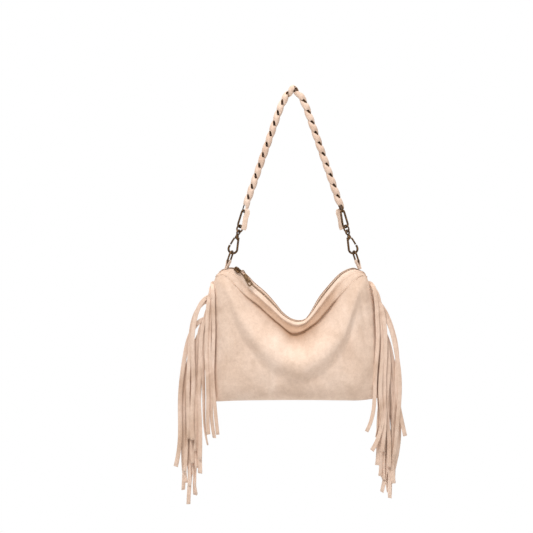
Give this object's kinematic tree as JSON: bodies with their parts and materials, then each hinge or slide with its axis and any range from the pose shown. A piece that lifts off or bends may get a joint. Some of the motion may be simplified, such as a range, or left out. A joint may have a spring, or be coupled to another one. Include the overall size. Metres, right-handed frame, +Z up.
{
  "type": "fringed suede bag",
  "caption": "Soft zip-top shoulder bag in pale suede with long cut fringe down both sides and a suede-laced chain strap on snap hooks.",
  "frame": {"origin": "the hang point, at the underside of the strap's top bend", "axes": "+Z up, -Y to the bag's front, +X to the right as seen from the front"},
  "size_m": [0.4072, 0.0844, 0.7799],
  "materials": {
    "suede": "soft matt nap",
    "lining": "plain weave",
    "zip_tape": "woven tape and moulded coil",
    "antique_bronze": "dark antique plating, worn at the edges"
  },
  "bodies": {
    "strap": {"strap_lacing": "suede", "strap_link_01": "antique_bronze", "strap_link_02": "antique_bronze", "strap_link_03": "antique_bronze", "strap_link_04": "antique_bronze", "strap_link_05": "antique_bronze", "strap_link_06": "antique_bronze", "strap_link_07": "antique_bronze", "strap_link_08": "antique_bronze", "strap_link_09": "antique_bronze", "strap_link_10": "antique_bronze", "strap_link_11": "antique_bronze", "strap_link_12": "antique_bronze", "strap_link_13": "antique_bronze", "strap_link_14": "antique_bronze", "strap_link_15": "antique_bronze", "strap_link_16": "antique_bronze", "strap_link_17": "antique_bronze", "strap_link_18": "antique_bronze", "strap_link_19": "antique_bronze", "strap_link_20": "antique_bronze", "strap_link_21": "antique_bronze", "strap_link_22": "antique_bronze", "strap_link_23": "antique_bronze", "strap_link_24": "antique_bronze", "left_end_link": "antique_bronze", "left_strap_ring": "antique_bronze", "left_lace_tail": "suede", "left_swivel_eye": "antique_bronze", "right_end_link": "antique_bronze", "right_strap_ring": "antique_bronze", "right_lace_tail": "suede", "right_swivel_eye": "antique_bronze"},
    "left_hook": {"left_hook": "antique_bronze"},
    "left_gate": {"left_gate": "antique_bronze"},
    "right_hook": {"right_hook": "antique_bronze"},
    "right_gate": {"right_gate": "antique_bronze"},
    "bag": {"back_panel": "suede", "back_zip_band": "suede", "front_panel": "suede", "front_zip_band": "suede", "left_d_ring": "antique_bronze", "left_fringe": "suede", "left_tab": "suede", "lining": "lining", "right_d_ring": "antique_bronze", "right_fringe": "suede", "right_tab": "suede", "zip_coil_back": "zip_tape", "zip_coil_front": "zip_tape", "zip_stop_left": "antique_bronze", "zip_stop_right": "antique_bronze", "zip_tape_back": "zip_tape", "zip_tape_front": "zip_tape"},
    "zip_slider": {"zip_slider": "antique_bronze"},
    "zip_puller": {"zip_puller": "antique_bronze"}
  },
  "joints": [
    {"name": "left_hook_swivel", "type": "hinge", "parent": "strap", "child": "left_hook", "pos_m": [-0.1117, 0, -0.29266], "axis": [0.3173, 0, 0.9483], "range_deg": [-10, 10]},
    {"name": "left_gate_hinge", "type": "hinge", "parent": "left_hook", "child": "left_gate", "pos_m": [-0.10557, 0, -0.26519], "axis": [0, -1, 0], "range_deg": [0, 22], "stiffness_Nm_per_rad": 0.05, "springref_deg": -11.46},
    {"name": "right_hook_swivel", "type": "hinge", "parent": "strap", "child": "right_hook", "pos_m": [0.1117, 0, -0.29266], "axis": [-0.3173, 0, 0.9483], "range_deg": [-10, 10]},
    {"name": "right_gate_hinge", "type": "hinge", "parent": "right_hook", "child": "right_gate", "pos_m": [0.10557, 0, -0.26519], "axis": [0, 1, 0], "range_deg": [0, 22], "stiffness_Nm_per_rad": 0.05, "springref_deg": -11.46},
    {"name": "bag_swing", "type": "hinge", "parent": "strap", "child": "bag", "pos_m": [0, 0, -0.29266], "axis": [1, 0, 0], "range_deg": [-45, 45]},
    {"name": "zip_slide", "type": "slide", "parent": "bag", "child": "zip_slider", "axis": [0.7796, 0, -0.6263], "range_m": [0, 0.052]},
    {"name": "puller_hinge", "type": "hinge", "parent": "zip_slider", "child": "zip_puller", "pos_m": [-0.0997, 0, -0.33276], "axis": [0, -1, 0], "range_deg": [0, 115]}
  ]
}
